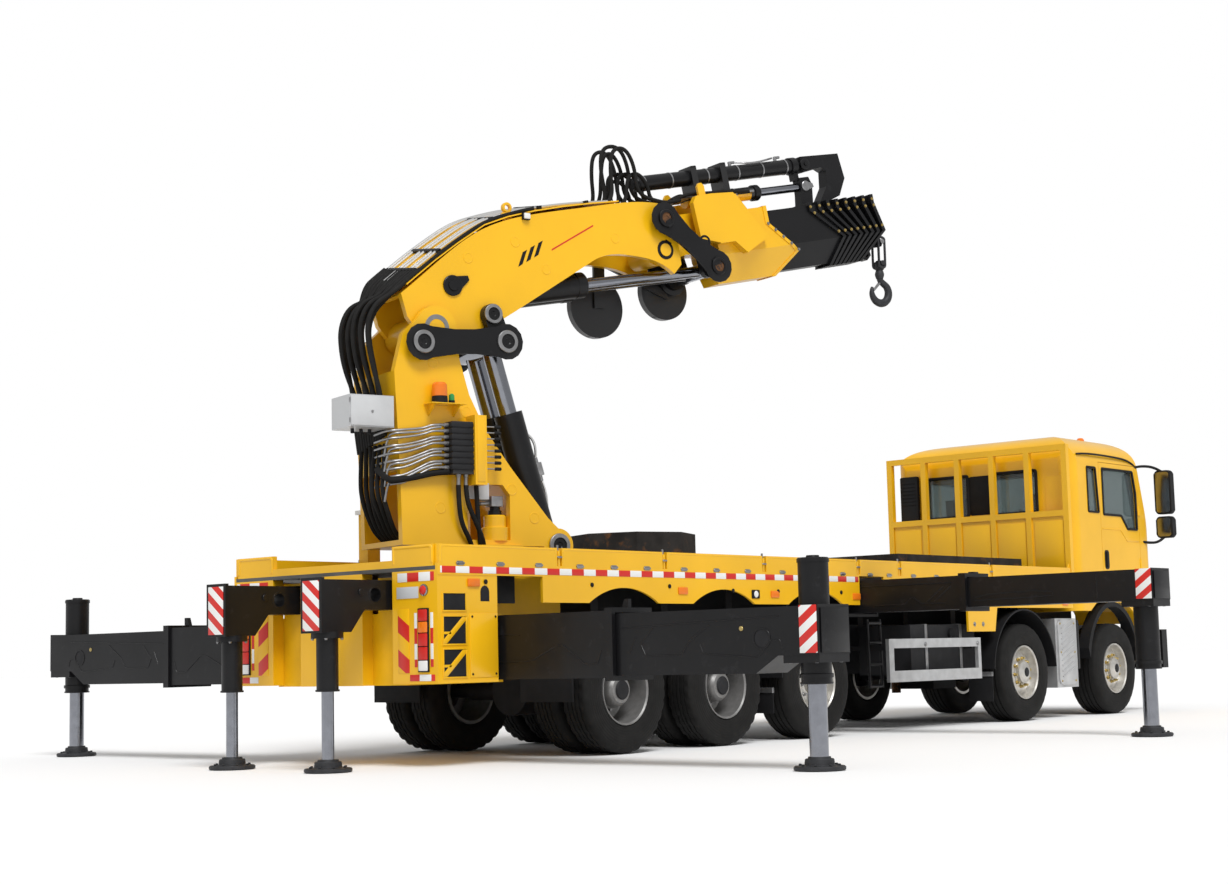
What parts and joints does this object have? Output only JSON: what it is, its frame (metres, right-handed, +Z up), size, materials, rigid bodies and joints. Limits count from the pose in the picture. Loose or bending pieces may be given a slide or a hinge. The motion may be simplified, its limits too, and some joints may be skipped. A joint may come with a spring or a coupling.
{
  "type": "truck-mounted folding crane",
  "caption": "Yellow multi-axle truck with a slewing folding crane, telescopic outer boom, hook, sliding outriggers with jacks, load deck with drop sides and a hinged-door cab.",
  "frame": {"origin": "on the ground under the centre of the bounding box", "axes": "+X forward along the truck, +Y to its left, +Z up"},
  "size_m": [13.55, 8.7498, 5.8786],
  "materials": {
    "yellow_paint": "gloss",
    "black_paint": "satin",
    "tyre_black": "matte",
    "chrome": "polished",
    "jack_steel": "satin",
    "glass": "clear",
    "trim_plastic": "matte",
    "hook_steel": "matte",
    "dark_grey_metal": "satin",
    "ballast_grey": "matte"
  },
  "bodies": {
    "truck": {"chassis_frame": "black_paint", "axles": "dark_grey_metal", "engine": "dark_grey_metal", "cab_shell": "yellow_paint", "cab_interior": "trim_plastic", "cab_glass": "glass", "headboard": "yellow_paint", "cargo_deck": "yellow_paint", "body_sides": "yellow_paint", "mudguards": "trim_plastic", "underbody_fittings": "dark_grey_metal", "deck_ballast": "ballast_grey"},
    "knuckle_1_left": {"knuckle_1_left": "black_paint"},
    "knuckle_1_right": {"knuckle_1_right": "black_paint"},
    "knuckle_2_left": {"knuckle_2_left": "black_paint"},
    "knuckle_2_right": {"knuckle_2_right": "black_paint"},
    "wheel_1_left": {"wheel_1_left": "tyre_black"},
    "wheel_1_right": {"wheel_1_right": "tyre_black"},
    "wheel_2_left": {"wheel_2_left": "tyre_black"},
    "wheel_2_right": {"wheel_2_right": "tyre_black"},
    "wheel_3_left": {"wheel_3_left": "tyre_black"},
    "wheel_3_right": {"wheel_3_right": "tyre_black"},
    "wheel_4_left": {"wheel_4_left": "tyre_black"},
    "wheel_4_right": {"wheel_4_right": "tyre_black"},
    "wheel_5_left": {"wheel_5_left": "tyre_black"},
    "wheel_5_right": {"wheel_5_right": "tyre_black"},
    "rear_beam_1_left": {"rear_beam_1_left": "black_paint"},
    "rear_beam_2_left": {"rear_beam_2_left": "black_paint"},
    "rear_jack_left": {"rear_jack_left": "jack_steel"},
    "rear_beam_1_right": {"rear_beam_1_right": "black_paint"},
    "rear_beam_2_right": {"rear_beam_2_right": "black_paint"},
    "rear_jack_right": {"rear_jack_right": "jack_steel"},
    "front_beam_1_left": {"front_beam_1_left": "black_paint"},
    "front_beam_2_left": {"front_beam_2_left": "black_paint"},
    "front_jack_left": {"front_jack_left": "jack_steel"},
    "front_beam_1_right": {"front_beam_1_right": "black_paint"},
    "front_beam_2_right": {"front_beam_2_right": "black_paint"},
    "front_jack_right": {"front_jack_right": "jack_steel"},
    "rear_arm_left": {"rear_arm_left": "black_paint"},
    "arm_jack_left": {"arm_jack_left": "jack_steel"},
    "rear_arm_right": {"rear_arm_right": "black_paint"},
    "arm_jack_right": {"arm_jack_right": "jack_steel"},
    "column": {"column": "yellow_paint"},
    "lift_barrels": {"lift_barrels": "black_paint"},
    "lift_rods": {"lift_rods": "chrome"},
    "lift_link": {"lift_link": "black_paint"},
    "lift_boom_link": {"lift_boom_link": "black_paint"},
    "inner_boom": {"inner_boom": "yellow_paint"},
    "knuckle_barrels": {"knuckle_barrels": "black_paint"},
    "knuckle_rods": {"knuckle_rods": "chrome"},
    "knuckle_link": {"knuckle_link": "black_paint"},
    "knuckle_boom_link": {"knuckle_boom_link": "black_paint"},
    "outer_boom": {"outer_boom": "yellow_paint"},
    "tele_1": {"tele_1": "black_paint"},
    "tele_2": {"tele_2": "black_paint"},
    "tele_3": {"tele_3": "black_paint"},
    "tele_4": {"tele_4": "black_paint"},
    "hook": {"hook": "hook_steel"},
    "door_left": {"door_left": "yellow_paint"},
    "door_right": {"door_right": "yellow_paint"}
  },
  "joints": [
    {"name": "steer_1_left", "type": "hinge", "parent": "truck", "child": "knuckle_1_left", "pos_m": [5.275, 0.9175, 0.54], "axis": [0, 0, 1], "range_deg": [-35, 35]},
    {"name": "steer_1_right", "type": "hinge", "parent": "truck", "child": "knuckle_1_right", "pos_m": [5.275, -0.9175, 0.54], "axis": [0, 0, 1], "range_deg": [-35, 35]},
    {"name": "steer_2_left", "type": "hinge", "parent": "truck", "child": "knuckle_2_left", "pos_m": [3.075, 0.9175, 0.54], "axis": [0, 0, 1], "range_deg": [-26, 26]},
    {"name": "steer_2_right", "type": "hinge", "parent": "truck", "child": "knuckle_2_right", "pos_m": [3.075, -0.9175, 0.54], "axis": [0, 0, 1], "range_deg": [-26, 26]},
    {"name": "spin_1_left", "type": "hinge", "parent": "knuckle_1_left", "child": "wheel_1_left", "pos_m": [5.275, 1.0575, 0.54], "axis": [0, 1, 0], "continuous": true},
    {"name": "spin_1_right", "type": "hinge", "parent": "knuckle_1_right", "child": "wheel_1_right", "pos_m": [5.275, -1.0575, 0.54], "axis": [0, 1, 0], "continuous": true},
    {"name": "spin_2_left", "type": "hinge", "parent": "knuckle_2_left", "child": "wheel_2_left", "pos_m": [3.075, 1.0575, 0.54], "axis": [0, 1, 0], "continuous": true},
    {"name": "spin_2_right", "type": "hinge", "parent": "knuckle_2_right", "child": "wheel_2_right", "pos_m": [3.075, -1.0575, 0.54], "axis": [0, 1, 0], "continuous": true},
    {"name": "spin_3_left", "type": "hinge", "parent": "truck", "child": "wheel_3_left", "pos_m": [-0.975, 1.0575, 0.54], "axis": [0, 1, 0], "continuous": true},
    {"name": "spin_3_right", "type": "hinge", "parent": "truck", "child": "wheel_3_right", "pos_m": [-0.975, -1.0575, 0.54], "axis": [0, 1, 0], "continuous": true},
    {"name": "spin_4_left", "type": "hinge", "parent": "truck", "child": "wheel_4_left", "pos_m": [-2.425, 0.9325, 0.54], "axis": [0, 1, 0], "continuous": true},
    {"name": "spin_4_right", "type": "hinge", "parent": "truck", "child": "wheel_4_right", "pos_m": [-2.425, -0.9325, 0.54], "axis": [0, 1, 0], "continuous": true},
    {"name": "spin_5_left", "type": "hinge", "parent": "truck", "child": "wheel_5_left", "pos_m": [-3.825, 0.9325, 0.54], "axis": [0, 1, 0], "continuous": true},
    {"name": "spin_5_right", "type": "hinge", "parent": "truck", "child": "wheel_5_right", "pos_m": [-3.825, -0.9325, 0.54], "axis": [0, 1, 0], "continuous": true},
    {"name": "rear_slide_1_left", "type": "slide", "parent": "truck", "child": "rear_beam_1_left", "axis": [0, -1, 0], "range_m": [0, 1.2]},
    {"name": "rear_slide_2_left", "type": "slide", "parent": "rear_beam_1_left", "child": "rear_beam_2_left", "axis": [0, -1, 0], "range_m": [0, 1.5]},
    {"name": "rear_lift_left", "type": "slide", "parent": "rear_beam_2_left", "child": "rear_jack_left", "axis": [0, 0, 1], "range_m": [0, 0.5]},
    {"name": "rear_slide_1_right", "type": "slide", "parent": "truck", "child": "rear_beam_1_right", "axis": [0, 1, 0], "range_m": [0, 1.525]},
    {"name": "rear_slide_2_right", "type": "slide", "parent": "rear_beam_1_right", "child": "rear_beam_2_right", "axis": [0, 1, 0], "range_m": [0, 1.525]},
    {"name": "rear_lift_right", "type": "slide", "parent": "rear_beam_2_right", "child": "rear_jack_right", "axis": [0, 0, 1], "range_m": [0, 0.5]},
    {"name": "front_slide_1_left", "type": "slide", "parent": "truck", "child": "front_beam_1_left", "axis": [0, -1, 0], "range_m": [0, 1.555]},
    {"name": "front_slide_2_left", "type": "slide", "parent": "front_beam_1_left", "child": "front_beam_2_left", "axis": [0, -1, 0], "range_m": [0, 1.555]},
    {"name": "front_lift_left", "type": "slide", "parent": "front_beam_2_left", "child": "front_jack_left", "axis": [0, 0, 1], "range_m": [0, 0.5]},
    {"name": "front_slide_1_right", "type": "slide", "parent": "truck", "child": "front_beam_1_right", "axis": [0, 1, 0], "range_m": [0, 1.555]},
    {"name": "front_slide_2_right", "type": "slide", "parent": "front_beam_1_right", "child": "front_beam_2_right", "axis": [0, 1, 0], "range_m": [0, 1.555]},
    {"name": "front_lift_right", "type": "slide", "parent": "front_beam_2_right", "child": "front_jack_right", "axis": [0, 0, 1], "range_m": [0, 0.5]},
    {"name": "arm_slide_left", "type": "slide", "parent": "truck", "child": "rear_arm_left", "axis": [1, 0, 0], "range_m": [0, 0.3]},
    {"name": "arm_lift_left", "type": "slide", "parent": "rear_arm_left", "child": "arm_jack_left", "axis": [0, 0, 1], "range_m": [0, 0.5]},
    {"name": "arm_slide_right", "type": "slide", "parent": "truck", "child": "rear_arm_right", "axis": [1, 0, 0], "range_m": [0, 0.3]},
    {"name": "arm_lift_right", "type": "slide", "parent": "rear_arm_right", "child": "arm_jack_right", "axis": [0, 0, 1], "range_m": [0, 0.5]},
    {"name": "slew", "type": "hinge", "parent": "truck", "child": "column", "pos_m": [-4.375, 0, 1.64], "axis": [0, 0, 1], "continuous": true},
    {"name": "lift", "type": "hinge", "parent": "column", "child": "inner_boom", "pos_m": [-4.91523, 0.15491, 3.667], "axis": [0.2756, 0.9613, 0], "range_deg": [-58, 25]},
    {"name": "lift_link_turn", "type": "hinge", "parent": "column", "child": "lift_link", "pos_m": [-5.08345, 0.20314, 3.524], "axis": [0.2756, 0.9613, 0], "range_deg": [-43, 19]},
    {"name": "lift_boom_link_turn", "type": "hinge", "parent": "inner_boom", "child": "lift_boom_link", "pos_m": [-4.38269, 0.0022, 3.831], "axis": [0.2756, 0.9613, 0], "range_deg": [-9.5, 21]},
    {"name": "lift_barrel_turn", "type": "hinge", "parent": "column", "child": "lift_barrels", "pos_m": [-3.77998, -0.17062, 1.811], "axis": [0.2756, 0.9613, 0], "range_deg": [-2, 1]},
    {"name": "lift_rod_slide", "type": "slide", "parent": "lift_barrels", "child": "lift_rods", "axis": [-0.2767, 0.0793, 0.9577], "range_m": [-0.26, 0.59]},
    {"name": "knuckle", "type": "hinge", "parent": "inner_boom", "child": "outer_boom", "pos_m": [-2.53899, -0.52647, 4.603], "axis": [-0.2756, -0.9613, 0], "range_deg": [-70, 8]},
    {"name": "knuckle_link_turn", "type": "hinge", "parent": "inner_boom", "child": "knuckle_link", "pos_m": [-2.58032, -0.51462, 4.884], "axis": [-0.2756, -0.9613, 0], "range_deg": [-57, 9]},
    {"name": "knuckle_boom_link_turn", "type": "hinge", "parent": "outer_boom", "child": "knuckle_boom_link", "pos_m": [-2.09681, -0.65326, 4.725], "axis": [-0.2756, -0.9613, 0], "range_deg": [-36, 6]},
    {"name": "knuckle_barrel_turn", "type": "hinge", "parent": "inner_boom", "child": "knuckle_barrels", "pos_m": [-4.59801, 0.06395, 3.984], "axis": [-0.2756, -0.9613, 0], "range_deg": [-7, 2]},
    {"name": "knuckle_rod_slide", "type": "slide", "parent": "knuckle_barrels", "child": "knuckle_rods", "axis": [0.9452, -0.271, 0.1822], "range_m": [-0.6, 0.1]},
    {"name": "tele_1_slide", "type": "slide", "parent": "outer_boom", "child": "tele_1", "axis": [0.9403, -0.2696, 0.2079], "range_m": [0, 0.32]},
    {"name": "tele_2_slide", "type": "slide", "parent": "tele_1", "child": "tele_2", "axis": [0.9403, -0.2696, 0.2079], "range_m": [0, 0.8]},
    {"name": "tele_3_slide", "type": "slide", "parent": "tele_2", "child": "tele_3", "axis": [0.9403, -0.2696, 0.2079], "range_m": [0, 0.8]},
    {"name": "tele_4_slide", "type": "slide", "parent": "tele_3", "child": "tele_4", "axis": [0.9403, -0.2696, 0.2079], "range_m": [0, 0.8]},
    {"name": "hook_swing", "type": "hinge", "parent": "tele_4", "child": "hook", "pos_m": [0.25023, -1.32626, 5.0204], "axis": [-0.2756, -0.9613, 0], "range_deg": [-22, 90]},
    {"name": "door_hinge_left", "type": "hinge", "parent": "truck", "child": "door_left", "pos_m": [6.12, 1.225, 2], "axis": [0, 0, -1], "range_deg": [0, 70]},
    {"name": "door_hinge_right", "type": "hinge", "parent": "truck", "child": "door_right", "pos_m": [6.12, -1.225, 2], "axis": [0, 0, 1], "range_deg": [0, 70]}
  ],
  "couplings": [
    {"joint": "steer_1_right", "follows": "steer_1_left", "ratio": 1},
    {"joint": "steer_2_left", "follows": "steer_1_left", "ratio": 0.72},
    {"joint": "steer_2_right", "follows": "steer_1_left", "ratio": 0.72},
    {"joint": "lift_link_turn", "follows": "lift", "ratio": 0.725},
    {"joint": "lift_boom_link_turn", "follows": "lift", "ratio": -0.35},
    {"joint": "lift_barrel_turn", "follows": "lift", "ratio": 0.02},
    {"joint": "lift_rod_slide", "follows": "lift", "m_per_rad": -0.575},
    {"joint": "knuckle_link_turn", "follows": "knuckle", "ratio": 0.8},
    {"joint": "knuckle_boom_link_turn", "follows": "knuckle", "ratio": 0.5},
    {"joint": "knuckle_barrel_turn", "follows": "knuckle", "ratio": 0.09},
    {"joint": "knuckle_rod_slide", "follows": "knuckle", "m_per_rad": 0.48},
    {"joint": "tele_3_slide", "follows": "tele_2_slide", "ratio": 1},
    {"joint": "tele_4_slide", "follows": "tele_2_slide", "ratio": 1}
  ]
}
